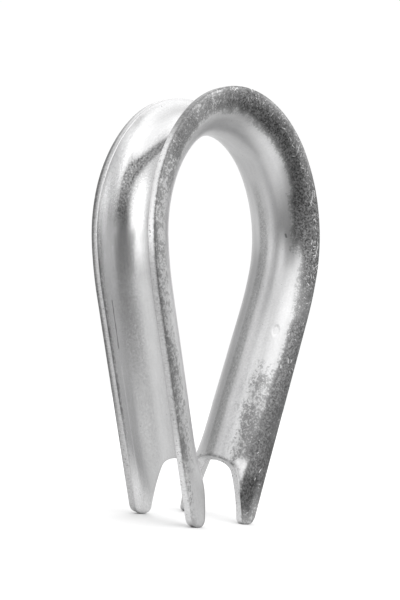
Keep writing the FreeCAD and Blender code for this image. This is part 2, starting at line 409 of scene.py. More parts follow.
class Wires:
    """Adds nodes to a tree and joins them, so that a formula reads as one."""

    def __init__(self, tree):
        self.tree = tree

    def node(self, kind, inputs=None, **settings):
        """A node with its settings, and its inputs by name: each a socket to join or a plain value."""
        node = self.tree.nodes.new(kind)
        for name, value in settings.items():
            setattr(node, name, value)
        for name, value in (inputs or {}).items():
            self.join(value, node.inputs[name])
        return node

    def join(self, value, target):
        if isinstance(value, bpy.types.NodeSocket):
            self.tree.links.new(value, target)
        else:
            target.default_value = value

    def math(self, operation, *values, clamp=False):
        node = self.node("ShaderNodeMath", operation=operation, use_clamp=clamp)
        for value, target in zip(values, node.inputs):
            self.join(value, target)
        return node.outputs[0]

    def vector(self, operation, *values, scale=None):
        node = self.node("ShaderNodeVectorMath", operation=operation)
        for value, target in zip(values, node.inputs):
            self.join(value, target)
        if scale is not None:
            self.join(scale, node.inputs["Scale"])
        return node.outputs["Value" if operation in ("DOT_PRODUCT", "LENGTH") else "Vector"]

    def plus(self, first, *others):
        for other in others:
            first = self.math("ADD", first, other)
        return first

    def minus(self, first, second):
        return self.math("SUBTRACT", first, second)

    def times(self, first, *others):
        for other in others:
            first = self.math("MULTIPLY", first, other)
        return first

    def unsigned(self, value):
        """The number without its sign."""
        return self.math("ABSOLUTE", value)

    def parts(self, vector):
        """The three parts of a vector, by the names X, Y and Z."""
        return self.node("ShaderNodeSeparateXYZ", {"Vector": vector}).outputs

    def mixed(self, first, second, share):
        """One number or another, by share."""
        return self.plus(first, self.times(self.minus(second, first), share))

    def step(self, value, start, end):
        """0 at start and 1 at end, smooth between them; start may be the higher one."""
        return self.node("ShaderNodeMapRange", {"Value": value, "From Min": start, "From Max": end},
                         interpolation_type="SMOOTHSTEP").outputs["Result"]


# %% The press and bend tree
def press_and_bend_tree():
    """Forms a flat blank (along, across, layer) into a bent channel."""
    tree = bpy.data.node_groups.new("press_and_bend", "GeometryNodeTree")
    socket(tree, "Geometry", "NodeSocketGeometry")
    socket(tree, "Bend line", "NodeSocketObject")
    for name in ("Line middle", "Mid radius", "Rise", "Waviness", "Half length", "Half strip", "Bent below",
                 "Straight above"):
        socket(tree, name, "NodeSocketFloat", 0.01)
    socket(tree, "Material", "NodeSocketMaterial")
    socket(tree, "Geometry", "NodeSocketGeometry", output=True)
    w = Wires(tree)
    given = w.node("NodeGroupInput").outputs

    flat = w.node("GeometryNodeInputPosition").outputs[0]
    stored = w.node("GeometryNodeStoreNamedAttribute", {"Geometry": given["Geometry"], "Name": "blank",
                    "Value": flat}, data_type="FLOAT_VECTOR", domain="POINT")
    place = w.parts(flat)

    # Round the section: how deep under the rims each point goes, and how wide.
    swell = w.node("ShaderNodeTexNoise", {"Vector": flat, "Scale": 160.0, "Detail": 1.0}).outputs["Fac"]
    layer = w.plus(place["Z"], w.times(w.minus(swell, 0.5), given["Waviness"]))
    angle = w.math("DIVIDE", place["Y"], given["Mid radius"])
    radius = w.minus(given["Mid radius"], layer)
    up_the_leg = w.minus(given["Half length"], w.unsigned(place["X"]))
    low_leg = w.step(up_the_leg, given["Straight above"], given["Bent below"])
    flatness = w.node("GeometryNodeInputNamedAttribute", {"Name": "flatness"}, data_type="FLOAT")
    flat_share = w.times(low_leg, flatness.outputs["Attribute"])
    round_deep = w.plus(given["Rise"], w.times(radius, w.math("COSINE", angle)))
    flat_deep = w.minus(given["Half strip"], w.unsigned(place["Y"]))
    deep = w.mixed(round_deep, flat_deep, flat_share)
    round_wide = w.times(radius, w.math("SINE", angle))
    flat_wide = w.times(radius, w.math("SIGN", place["Y"]))
    wide = w.mixed(round_wide, flat_wide, flat_share)

    # Along the bend line: inwards by the depth, and across by the width.
    line = w.node("GeometryNodeObjectInfo", {"Object": given["Bend line"]}).outputs["Geometry"]
    sample = w.node("GeometryNodeSampleCurve", {"Curves": line,
                    "Length": w.plus(place["X"], given["Line middle"])}, mode="LENGTH")
    across = (0.0, 1.0, 0.0)
    inwards = w.vector("CROSS_PRODUCT", across, sample.outputs["Tangent"])
    formed = w.vector("ADD", sample.outputs["Position"], w.vector("SCALE", inwards, scale=deep))
    formed = w.vector("ADD", formed, w.vector("SCALE", across, scale=wide))
    bent = w.node("GeometryNodeInputNamedAttribute", {"Name": "bent"}, data_type="FLOAT_VECTOR")
    formed = w.vector("ADD", formed, w.vector("SCALE", bent.outputs["Attribute"], scale=low_leg))

    moved = w.node("GeometryNodeSetPosition", {"Geometry": stored.outputs[0], "Position": formed})
    whole = w.node("GeometryNodeRealizeInstances", {"Geometry": moved.outputs[0]})
    plated = w.node("GeometryNodeSetMaterial", {"Geometry": whole.outputs[0], "Material": given["Material"]})
    w.node("NodeGroupOutput", {"Geometry": plated.outputs[0]})
    return tree


form_tree = press_and_bend_tree()
print(f"{form_tree.name}: {len(form_tree.nodes)} nodes")

# %% [markdown]
# The zinc finish
# Zinc plating on pressed steel isn't one even grey. Where the tool rubbed, it is bright satin with faint
# lines along the strip. Where nothing touched it, mostly on the flanges, a dull mottled crust stays.
# Handling adds short bright nicks and small dark pits, and the sheared edge has a torn, dark burr line. Each
# of these could be painted, but a small shader group for each stays sharp at any size. All of them read the
# flat blank's place: along, across and layer, in millimetres. So the marks follow the metal round its bends,
# and the scale of each noise is in grains for a millimetre.


# %% Helpers for shader groups
def shader_group(name, inputs, outputs):
    """An empty shader group with named number or vector sockets, its wires, and what it is given."""
    tree = bpy.data.node_groups.new(name, "ShaderNodeTree")
    for label, default in inputs.items():
        socket(tree, label, "NodeSocketVector" if default is None else "NodeSocketFloat", default)
    for label in outputs:
        socket(tree, label, "NodeSocketFloat", output=True)
    w = Wires(tree)
    return tree, w, w.node("NodeGroupInput").outputs


def noise(w, place, scale, detail=2.0, roughness=0.5, distortion=0.0):
    """Noise around zero, from about -0.5 to 0.5."""
    made = w.node("ShaderNodeTexNoise", {"Vector": place, "Scale": scale, "Detail": detail,
                  "Roughness": roughness, "Distortion": distortion})
    return w.minus(made.outputs["Fac"], 0.5)


def stretched(w, place, along, across, layer):
    """The place, with each direction scaled by itself."""
    return w.vector("MULTIPLY", place, (along, across, layer))


def cell_grid(w, place, spacing):
    """Scattered points, one to a cell: the nearest one's outputs, and three chances of its own."""
    cells = w.node("ShaderNodeTexVoronoi", {"Vector": place, "Scale": w.math("DIVIDE", 1.0, spacing),
                   "Randomness": 1.0}, voronoi_dimensions="2D").outputs
    return cells, w.parts(cells["Color"])


# %% [markdown]
# Satin and crust
# The satin is a fine grain, with broad clouds and with lines that are noise stretched along the strip. The
# crust covers a place where its amount, made uneven by three sizes of noise, is high enough. So a patch of
# it breaks up into islands and grains towards its edge, as plating does where it is rubbed away.


# %% Satin grain and lines along the strip
def satin_group():
    """Tone (around 1) and relief of the plating that the tool has rubbed."""
    given_in = {"Place": None, "Grain": 0.1, "Clouds": 0.1, "Lines": 0.1}
    tree, w, given = shader_group("satin_grain", given_in, ["Tone", "Relief"])
    place = given["Place"]
    grain = noise(w, place, 3.2, 3.0, 0.7)
    clouds = noise(w, stretched(w, place, 0.5, 1.0, 1.0), 0.35, 3.0, 0.6)
    lines = noise(w, stretched(w, place, 0.06, 1.0, 1.0), 2.6, 3.0, 0.6)
    tone = w.plus(1.0, w.times(grain, given["Grain"]), w.times(clouds, given["Clouds"]),
                  w.times(lines, given["Lines"]))
    w.node("NodeGroupOutput", {"Tone": tone, "Relief": w.plus(grain, w.times(lines, 0.8))})
    return tree


satin = satin_group()
print(f"{satin.name}: {len(satin.nodes)} nodes")


# %% Dull, mottled crust
def mottle_group():
    """How dull each place is, from 0 to 1, for a given amount; the crust's own tone; and its relief."""
    given_in = {"Place": None, "Amount": 0.5, "Contrast": 1.0, "Depth": 1.0}
    tree, w, given = shader_group("dull_mottle", given_in, ["Dull", "Tone", "Relief"])
    place = given["Place"]
    broad = noise(w, place, 0.45, 2.0, 0.5, 0.4)
    patches = noise(w, place, 1.5, 4.0, 0.7, 0.5)
    grains = noise(w, stretched(w, place, 0.8, 1.0, 1.0), 3.8, 3.0, 0.7)
    unevenness = w.plus(w.times(broad, 0.8), w.times(patches, 1.5), w.times(grains, 2.0))
    value = w.plus(given["Amount"], w.times(unevenness, given["Contrast"]))
    dull = w.times(w.step(value, 0.0, 0.75), w.step(given["Amount"], 0.0, 0.12))
    speckle = w.plus(w.times(grains, 4.8), w.times(patches, 2.2))
    tone = w.math("MAXIMUM", w.plus(1.0, w.times(speckle, given["Depth"])), 0.3)
    w.node("NodeGroupOutput", {"Dull": dull, "Tone": tone, "Relief": w.plus(grains, patches)})
    return tree


mottle = mottle_group()
print(f"{mottle.name}: {len(mottle.nodes)} nodes")

# %% [markdown]
# Nicks and pits
# Handling leaves straight nicks and round pits in no order. Both are drawn in the cells of a scattered grid:
# each cell has its own chance of a mark, and its own turn and length, so none is placed by hand.


# %% Short straight nicks, and round pits
def nick_group():
    """One straight nick in some cells of a grid, each turned its own way."""
    given_in = {"Place": None, "Spacing": 1.0, "Width": 0.04, "Share": 0.3}
    tree, w, given = shader_group("straight_nicks", given_in, ["Nick"])
    cells, chance = cell_grid(w, given["Place"], given["Spacing"])
    local = w.vector("SUBTRACT", given["Place"], cells["Position"])
    turn = w.times(chance["X"], math.pi)
    local = w.parts(w.node("ShaderNodeVectorRotate", {"Vector": local, "Angle": turn},
                           rotation_type="Z_AXIS").outputs[0])
    half_length = w.times(given["Spacing"], w.plus(0.1, w.times(chance["Y"], 0.35)))
    thin = w.step(w.unsigned(local["Y"]), given["Width"], w.times(given["Width"], 0.3))
    short = w.step(w.unsigned(local["X"]), half_length, w.times(half_length, 0.6))
    some = w.math("LESS_THAN", chance["Z"], given["Share"])
    w.node("NodeGroupOutput", {"Nick": w.times(thin, short, some)})
    return tree


def pit_group():
    """Small round pits in some cells of a grid."""
    given_in = {"Place": None, "Spacing": 1.5, "Radius": 0.07, "Share": 0.2}
    tree, w, given = shader_group("round_pits", given_in, ["Pit"])
    cells, chance = cell_grid(w, given["Place"], given["Spacing"])
    away = w.times(cells["Distance"], given["Spacing"])
    radius = w.times(given["Radius"], w.plus(0.5, chance["X"]))
    some = w.math("LESS_THAN", chance["Z"], given["Share"])
    w.node("NodeGroupOutput", {"Pit": w.times(w.step(away, radius, w.times(radius, 0.3)), some)})
    return tree


nicks, pits = nick_group(), pit_group()
print(f"{nicks.name}: {len(nicks.nodes)} nodes, {pits.name}: {len(pits.nodes)}")

# %% [markdown]
# The sheared edge
# The cut face is the wall between the two faces of the sheet, so the layer finds it. Towards the back the
# cut turns into a torn burr, which is dark and breaks up into dots. The burr also runs on to the back for a
# little way, which is what the distance from the edge is for. The tips are rubbed clean of it.

# %% The cut face and its burr
BURR_FULL, BURR_END = 63.0, 69.0      # along the strip from the crown: where it is full, and where it ends


def edge_group():
    """Where the cut face is, and where its torn, dark burr line runs."""
    given_in = {"Place": None, "Edge distance": 1.0, "Sheet": 1.2}
    tree, w, given = shader_group("sheared_edge", given_in, ["Cut", "Burr", "Dots", "Relief"])
    place = w.parts(given["Place"])
    half = w.times(given["Sheet"], 0.5)
    side = w.math("DIVIDE", place["Z"], half)                        # 1 on the groove side, -1 on the back
    cut = w.step(w.unsigned(side), 0.97, 0.88)
    torn = noise(w, given["Place"], 3.6, 4.0, 0.75)
    low = w.step(w.plus(side, w.times(torn, 1.6)), -0.4, -0.95)
    near = w.step(w.plus(given["Edge distance"], w.times(torn, 1.4)), 0.35, 0.1)
    dotted = w.step(noise(w, given["Place"], 1.8, 4.0, 0.75), -0.22, 0.06)
    above_tips = w.step(w.unsigned(place["X"]), BURR_END, BURR_FULL)
    burr = w.times(w.times(low, near), w.times(dotted, above_tips))
    shear = noise(w, stretched(w, given["Place"], 1.0, 1.0, 0.3), 7.0, 3.0, 0.7)
    dots = w.times(cut, w.step(noise(w, given["Place"], 3.2, 2.0, 0.6), 0.13, 0.2))
    w.node("NodeGroupOutput", {"Cut": cut, "Burr": burr, "Dots": dots, "Relief": w.times(cut, shear)})
    return tree


edge = edge_group()
print(f"{edge.name}: {len(edge.nodes)} nodes")

# %% [markdown]
# Where the crust lies
# Each patch is a soft box on the flat blank, with its middle, its half sizes and its strength. On the back
# the front flange is dull from the crown down the right leg, and only lightly on the left leg. The rear
# flange has the same kind of patches in other places. A slope makes a box drift across as it goes along.

# %% Place the crust
BACK, GROOVE = -0.6, 0.6
# (along, across, layer) of the middle, (along, across) half sizes, strength, slope
DULL_PATCHES = [
    ((-44, -8.3, BACK), (24, 0.7), 0.29, 0),
    ((-40, -7.5, BACK), (22, 1.3), 0.27, 0),
    ((-34, 8.2, BACK), (42, 2.2), 0.55, 0),
    ((-12, -7.5, BACK), (13, 1.8), 0.62, 0),
    ((-10, 6.0, BACK), (14, 1.8), 0.50, 0),
    ((4, -8.5, BACK), (14, 0.6), -0.60, 0),
    ((14, -5.4, BACK), (13, 1.1), 0.66, 0),
    ((15, -7.0, BACK), (20, 1.85), 0.80, 0),
    ((25, -4.8, BACK), (5.5, 1.2), 0.62, 0),
    ((38, -7.5, BACK), (17, 1.9), 0.65, 0),
    ((40, 7.6, BACK), (30, 2.4), 0.50, 0),
    ((55, -7.3, BACK), (13, 1.9), 0.60, 0.03),
    ((61, -4.8, BACK), (10, 2.0), 0.42, 0),
    ((61, -2.5, BACK), (10, 1.7), 0.05, 0),
    ((66.5, -4.2, BACK), (2.6, 0.9), -0.60, 0),
    ((68, -6.8, BACK), (8, 2.2), 0.45, 0),
    ((-47, 8.5, GROOVE), (13, 0.5), 0.50, 0),
    ((40, -4.0, GROOVE), (20, 1.2), 0.25, 0),
]
# Where the crust's grains are more even in tone than elsewhere.
CALM_PATCHES = [
    ((60, -6.5, BACK), (20, 4.0), 0.32, 0),
    ((-48, -7.8, BACK), (30, 1.6), 0.30, 0),
]
print(f"crust: {len(DULL_PATCHES)} patches")

# %% [markdown]
# Painted shade and highlights
# Some places are darkened or brightened in the tone to stand in for light and shade: a painted shade that is
# smooth but for a fine grain, such as the band that curls up the left groove, and painted highlights
# elsewhere.
# Both are one amount: above zero it darkens, and below zero it brightens. It works on crust and satin alike.

# %% Place the painted shade and highlights
# Painted shade where the strength is above zero, painted highlights where it is below.
PAINTED_SHADE_AND_HIGHLIGHT_PATCHES = [
    ((-72, -7.0, BACK), (5, 2.4), 0.14, 0),
    ((-45, -7.4, BACK), (9, 0.9), 0.09, 0),
    ((-34, -5.6, BACK), (34, 1.3), -0.10, 0),
    ((-24, -8.5, BACK), (7, 0.5), -0.16, 0),
    ((-17, -5.0, BACK), (8, 1.0), -0.08, 0),
    ((1, 1.4, BACK), (7, 1.6), -0.09, 0),
    ((8, -8.5, BACK), (9, 0.5), -0.14, 0),
    ((8, -4.1, BACK), (6, 1.0), -0.10, 0),
    ((18, -5.0, BACK), (4, 1.1), 0.16, 0),
    ((22, 0.9, BACK), (6, 0.7), 0.14, 0),
    ((30, -7.5, BACK), (9, 1.6), 0.12, 0),
    ((30, -3.5, BACK), (4, 0.8), 0.14, 0),
    ((32, -1.3, BACK), (10, 1.3), 0.10, 0),
    ((42, -4.2, BACK), (14, 0.8), -0.10, 0),
    ((48, -8.5, BACK), (13, 0.6), -0.10, 0),
    ((48, 0.5, BACK), (28, 0.8), 0.34, 0),
    ((54, -1.5, BACK), (14, 0.7), -0.06, 0),
    ((60, -3.6, BACK), (7, 0.9), 0.12, 0),
    ((62, -6.4, BACK), (7, 2.2), 0.13, 0),
    ((66.5, -4.2, BACK), (2.4, 0.8), -0.45, 0),
    ((68, 2.2, BACK), (5, 1.6), -0.10, 0),
    ((68.5, -5.9, BACK), (2.6, 1.2), 0.48, 0),
    ((-73, 4.5, GROOVE), (7, 4.5), -0.16, 0),
    ((-58, 4.3, GROOVE), (14, 1.6), 0.15, 0),
    ((-52, 3.8, GROOVE), (10, 1.4), 0.07, 0),
    ((-46, 8.5, GROOVE), (14, 0.4), 0.20, 0),
    ((-36, 1.2, GROOVE), (4, 1.2), 0.08, 0),
    ((-36, 4.5, GROOVE), (4.5, 1.9), -0.15, 0),
    ((-30, 2.0, GROOVE), (7, 1.5), -0.12, 0),
    ((-25.5, 4.6, GROOVE), (5.5, 0.95), 0.64, 0),
    ((-22.5, 7.1, GROOVE), (6.5, 1.1), -0.42, 0),
    ((-22, 8.2, GROOVE), (11, 0.5), 0.16, 0),
    ((-17.5, 2.8, GROOVE), (6, 0.95), 0.58, -0.28),
    ((-13, 7.4, GROOVE), (9, 1.8), 0.08, 0),
    ((24, -4.4, GROOVE), (6, 0.8), 0.45, 0),
]
PAINTED_SHADE_MOST = 0.65
print(f"film: {sum(patch[2] > 0 for patch in PAINTED_SHADE_AND_HIGHLIGHT_PATCHES)} dark patches, "
      f"{sum(patch[2] < 0 for patch in PAINTED_SHADE_AND_HIGHLIGHT_PATCHES)} brightened ones")

# %% Place the painted light on the cut edge, the nicks and the grain
# Painted highlight and shade on the cut edge: how much lighter or darker it is made than elsewhere.
PAINTED_EDGE_LIGHT_PATCHES = [
    ((-28, -8.4, 0), (7, 1.5), 0.60, 0),
    ((-66, -8.4, 0), (7, 1.5), 0.30, 0),
    ((-13, -8.4, 0), (6, 1.5), -0.60, 0),
    ((-41, -8.4, 0), (5, 1.5), -0.10, 0),
    ((-36, 8.4, -0.55), (22, 1.5), -0.55, 0),
    ((66, -2.0, 0), (9, 7.0), 0.30, 0),
]
# How thick the nicks lie: the share of places that have one.
NICK_PATCHES = [
    ((16, -7.5, BACK), (22, 0.9), 0.55, 0),
    ((48, -7.6, BACK), (30, 1.6), 0.08, 0),
    ((-10, -8.0, BACK), (14, 1.0), 0.05, 0),
    ((30, 7.8, BACK), (34, 1.4), 0.25, 0),
]
# Where the plating is grainier than elsewhere.
GRAIN_PATCHES = [
    ((56, -0.8, BACK), (18, 2.8), 0.30, 0),
    ((-36, 4.2, GROOVE), (16, 1.8), 0.45, 0),
    ((-45, -7.6, BACK), (30, 1.2), 0.12, 0),
    ((-20, 2.6, GROOVE), (10, 1.6), 0.40, 0),
    ((-17, -7.4, BACK), (13, 1.5), 0.25, 0),
]
print(f"edge, nicks and grain: {len(PAINTED_EDGE_LIGHT_PATCHES)}, {len(NICK_PATCHES)} and {len(GRAIN_PATCHES)} patches")

# %% [markdown]
# From patches to the blank
# The boxes could be worked out in the shader, but so many would fill it. They are smooth and wider than the
# blank's triangles, so each kind is summed at the blank's points and kept there as an attribute. The shader
# reads one number of each kind, and adds the fine break-up by itself.

# %% Spread the patches over the blank
BOX_FULL, BOX_END = 0.6, 1.3          # of the half size: where a box's strength is full, and where it ends
BOX_THICKNESS = 0.55                  # through the sheet, in millimetres


def soft_boxes(places, patches):
    """Sum of the soft boxes at each place."""
    total = np.zeros(len(places))
    for middle, half_sizes, strength, slope in patches:
        local = places - np.array(middle)
        local[:, 1] -= slope * local[:, 0]
        away = np.abs(local / np.array([*half_sizes, BOX_THICKNESS])).max(1)
        share = np.clip((BOX_END - away) / (BOX_END - BOX_FULL), 0, 1)
        total += strength * share * share * (3 - 2 * share)
    return total


SPREADS = {"dull": DULL_PATCHES, "painted_shade_and_highlight": PAINTED_SHADE_AND_HIGHLIGHT_PATCHES, "painted_edge_light": PAINTED_EDGE_LIGHT_PATCHES, "nick_share": NICK_PATCHES,
           "extra_grain": GRAIN_PATCHES, "calm": CALM_PATCHES}
for name, patches in SPREADS.items():
    spread = sheet_mesh.attributes.new(name, "FLOAT", "POINT")
    amounts = soft_boxes(points, patches)
    spread.data.foreach_set("value", amounts.astype(np.float32))
    print(f"{name}: from {amounts.min():.2f} to {amounts.max():.2f}")


# %% [markdown]
# Single marks
# Some marks are too plain to leave to chance: the score lines down the left groove, a nick across the front
# rim, a dark chip beside the eye, and a small shallow dent on the right leg. Each score is drawn between two
# places, with an edge that wavers a little, and the dent is a soft dimple in the relief.

# %% Score marks and the dent
def score_group():
    """A scratch between two places, from 0 to 1."""
    given_in = {"Place": None, "Start": None, "End": None, "Half width": 0.06}
    tree, w, given = shader_group("score", given_in, ["Score"])
    ahead = w.vector("SUBTRACT", given["End"], given["Start"])
    away = w.vector("SUBTRACT", given["Place"], given["Start"])
    share = w.math("DIVIDE", w.vector("DOT_PRODUCT", away, ahead), w.vector("DOT_PRODUCT", ahead, ahead),
                   clamp=True)
    off = w.vector("LENGTH", w.vector("SUBTRACT", away, w.vector("SCALE", ahead, scale=share)))
    waver = w.times(noise(w, given["Place"], 1.3), w.times(given["Half width"], 1.5))
    mark = w.step(w.plus(off, waver), given["Half width"], w.times(given["Half width"], 0.4))
    w.node("NodeGroupOutput", {"Score": mark})
    return tree


score = score_group()
# Start and end (along, across, layer), half width, and the tone inside.
SCORES = [
    ((-48.5, 6.9, GROOVE), (-42, 6.8, GROOVE), 0.11, 0.45),      # the two lines down the left groove
    ((-68, 7.0, GROOVE), (-51, 6.9, GROOVE), 0.09, 1.2),
    ((-33, -8.7, 0.1), (-33.4, -7.9, 0.1), 0.14, 0.25),          # across the front rim
    ((27.2, -2.8, BACK), (27.8, -2.9, BACK), 0.16, 0.25),        # the chip beside the eye
    ((20.5, -7.6, BACK), (22.0, -7.0, BACK), 0.10, 1.3),         # bright nicks on the right shoulder
    ((29.0, -7.9, BACK), (31.0, -7.4, BACK), 0.10, 1.3),
    ((12.5, -7.7, BACK), (13.4, -6.6, BACK), 0.10, 1.3),
]
DENT_MIDDLE, DENT_HALVES, DENT_DEPTH = (44.6, -3.9, BACK), (1.1, 0.6, 0.6), 0.035
print(f"single marks: {len(SCORES)} and a dent")

# %% [markdown]
# One material
# One material covers the piece, because it is one strip with one plating. It starts from the satin, lays
# crust, painted shade and highlights, cut edge and burr over it, and lets the nicks and pits cut through.
# Bare zinc is a metal, so Metallic is 1 and the tone goes to the colour. Roughness and relief follow the
# same masks.

# %% Tones, roughness and relief of the zinc
# The plating's grey, and the tones of its parts as shares of it.
ZINC_GREY = {"Red": 0.66, "Green": 0.66, "Blue": 0.663}
TONE = {"crust": 0.36, "cut": 0.9, "dots": 0.3, "burr": 0.28, "nick": 1.5, "pit": 0.3}
# How fully a mark's own tone covers what lies under it.
COVER = {"dots": 0.8, "burr": 0.85, "pit": 0.8, "score": 0.8}
ROUGHNESS = {"groove": 0.27, "back": 0.36, "crust": 0.4, "cut": 0.38, "burr": 0.6}
# How far each part stands up, or goes down for nicks and pits, as a share of the depth in millimetres.
RELIEF = {"grain": 0.35, "crust": 1.6, "cut": 0.4, "nick": 0.5, "pit": 1.0}
RELIEF_DEPTH = 0.012
PLAIN_GRAIN, CLOUDS, LINES = 0.2, 0.22, 0.14
CRUST_RAGGED, RAGGED_BY_GRAIN = 0.4, 3.0      # how far the crust breaks up: everywhere, and by the grain
PAINTED_LIGHT_GRAIN, CUT_STREAKS = 2.2, 0.9            # how uneven the painted shade and highlights, and the cut face, are
CLOSE_NICKS, LONG_NICKS = 0.7, 0.2            # how bright, next to the short ones


def group_node(w, tree, **inputs):
    """A group in the material, with its inputs by name."""
    node = w.node("ShaderNodeGroup", node_tree=tree)
    for name, value in inputs.items():
        w.join(value, node.inputs[name.replace("_", " ")])
    return node.outputs


def amount(w, name):
    """One of the amounts that are spread over the blank."""
    return w.node("ShaderNodeAttribute", attribute_name=name, attribute_type="GEOMETRY").outputs["Fac"]


def moved(w, place, along, across):
    """The place, moved so that a second pattern doesn't repeat the first."""
    return w.vector("ADD", place, (along, across, 0.0))


def zinc_layers(w, place):
    """What lies at each place: satin, crust, painted shade and highlights, cut edge, bright nicks and pits.
    """
    grain = w.plus(PLAIN_GRAIN, amount(w, "extra_grain"))
    fine = group_node(w, satin, Place=place, Grain=grain, Clouds=CLOUDS, Lines=LINES)
    crust = group_node(w, mottle, Place=place, Amount=amount(w, "dull"),
                       Contrast=w.plus(CRUST_RAGGED, w.times(grain, RAGGED_BY_GRAIN)),
                       Depth=w.minus(1.0, amount(w, "calm")))
    # Painted shade and highlights, with a fine grain in them.
    painted_light_grain = noise(w, stretched(w, place, 0.7, 1.0, 1.0), 3.6, 3.0, 0.65)
    painted_shade_and_highlight = w.times(w.math("MINIMUM", amount(w, "painted_shade_and_highlight"), PAINTED_SHADE_MOST),
                   w.plus(1.0, w.times(painted_light_grain, PAINTED_LIGHT_GRAIN)))
    cut = group_node(w, edge, Place=place, Edge_distance=amount(w, "edge_distance"), Sheet=SHEET)
    nick_share = amount(w, "nick_share")
    short = group_node(w, nicks, Place=place, Spacing=1.3, Width=0.07, Share=nick_share)["Nick"]
    close = group_node(w, nicks, Place=moved(w, place, 5.1, 2.9), Spacing=0.7, Width=0.065,
                       Share=nick_share)["Nick"]
    long = group_node(w, nicks, Place=moved(w, place, 3.3, 7.7), Spacing=6.0, Width=0.03, Share=0.5)["Nick"]
    in_crust = w.times(w.math("MAXIMUM", short, w.times(close, CLOSE_NICKS)), crust["Dull"])
    bright = w.math("MAXIMUM", in_crust, w.times(long, LONG_NICKS))
    pit = group_node(w, pits, Place=place, Spacing=1.8, Radius=0.07, Share=0.16)["Pit"]
    return fine, crust, painted_shade_and_highlight, cut, bright, pit


# %% Colour, roughness and relief from the layers
def zinc_tone(w, place, layers):
    """The tone as a share of the plating's grey."""
    fine, crust, painted_shade_and_highlight, cut, bright, pit = layers
    tone = w.mixed(fine["Tone"], w.times(crust["Tone"], TONE["crust"]), crust["Dull"])
    # The painted shade darkens the tone; below zero it is a painted highlight that brightens it.
    tone = w.times(tone, w.minus(1.0, painted_shade_and_highlight))
    # The cut face's own tone, plus its painted highlight and shade.
    cut_tone = w.plus(TONE["cut"], amount(w, "painted_edge_light"), w.times(cut["Relief"], CUT_STREAKS))
    tone = w.mixed(tone, cut_tone, cut["Cut"])
    tone = w.mixed(tone, TONE["dots"], w.times(cut["Dots"], COVER["dots"]))
    tone = w.mixed(tone, TONE["burr"], w.times(cut["Burr"], COVER["burr"]))
    tone = w.mixed(tone, TONE["nick"], bright)
    tone = w.mixed(tone, TONE["pit"], w.times(pit, COVER["pit"]))
    for start, end, half_width, score_tone in SCORES:
        mark = group_node(w, score, Place=place, Start=start, End=end, Half_width=half_width)["Score"]
        tone = w.mixed(tone, score_tone, w.times(mark, COVER["score"]))
    return tone


def zinc_roughness(w, place, layers):
    """Smoothest where the former slid along the groove, roughest on the burr."""
    _, crust, _, cut, _, _ = layers
    on_back = w.step(w.parts(place)["Z"], 0.3, -0.3)
    rough = w.mixed(ROUGHNESS["groove"], ROUGHNESS["back"], on_back)
    rough = w.mixed(rough, ROUGHNESS["crust"], crust["Dull"])
    rough = w.mixed(rough, ROUGHNESS["cut"], cut["Cut"])
    return w.mixed(rough, ROUGHNESS["burr"], cut["Burr"])


def zinc_relief(w, place, layers):
    """The height of the surface, as a share of the relief's depth."""
    fine, crust, _, cut, bright, pit = layers
    relief = w.plus(w.times(fine["Relief"], RELIEF["grain"]),
                    w.times(crust["Relief"], w.times(crust["Dull"], RELIEF["crust"])),
                    w.times(cut["Relief"], RELIEF["cut"]))
    relief = w.minus(relief, w.times(bright, RELIEF["nick"]))
    relief = w.minus(relief, w.times(pit, RELIEF["pit"]))
    from_dent = w.vector("DIVIDE", w.vector("SUBTRACT", place, DENT_MIDDLE), DENT_HALVES)
    dent = w.step(w.vector("LENGTH", from_dent), 1.0, 0.5)
    return w.minus(relief, w.times(dent, DENT_DEPTH / RELIEF_DEPTH))


# %% Put the finish together
def zinc_material():
    """Zinc plated steel, by the place on the flat blank."""
    material = bpy.data.materials.new("zinc_plated_steel")
    material.use_nodes = True
    tree = material.node_tree
    w = Wires(tree)
    flat = w.node("ShaderNodeAttribute", attribute_name="blank", attribute_type="GEOMETRY").outputs["Vector"]
    place = w.vector("SCALE", flat, scale=1 / MM)
    layers = zinc_layers(w, place)
    tone = zinc_tone(w, place, layers)
    colour = {part: w.times(tone, grey) for part, grey in ZINC_GREY.items()}
    colour = w.node("ShaderNodeCombineColor", colour)
    bump = w.node("ShaderNodeBump", {"Height": zinc_relief(w, place, layers), "Strength": 1.0,
                  "Distance": RELIEF_DEPTH * MM})
    shader = tree.nodes["Principled BSDF"]
    w.join(colour.outputs[0], shader.inputs["Base Color"])
    w.join(zinc_roughness(w, place, layers), shader.inputs["Roughness"])
    w.join(1.0, shader.inputs["Metallic"])
    w.join(bump.outputs["Normal"], shader.inputs["Normal"])
    return material


zinc = zinc_material()
print(f"{zinc.name}: {len(zinc.node_tree.nodes)} nodes")

# %% [markdown]
# Form the thimble
# The tree now runs once, with its sizes set by each socket's identifier. Its result is kept as a plain mesh
# at the origin, and the blank and the bend line, which were only tools, are thrown away.


# %% Run the tree and keep the mesh
def form(flat, tree, values):
    """Runs a tree on an object and keeps the result as a plain mesh."""
    modifier = flat.modifiers.new("form", "NODES")
    modifier.node_group = tree
    for item in tree.interface.items_tree:
        if item.item_type == "SOCKET" and item.in_out == "INPUT" and item.name in values:
            modifier[item.identifier] = values[item.name]
    bpy.context.view_layer.update()
    result = bpy.data.meshes.new_from_object(flat.evaluated_get(bpy.context.evaluated_depsgraph_get()))
    flat.modifiers.remove(modifier)
    return result


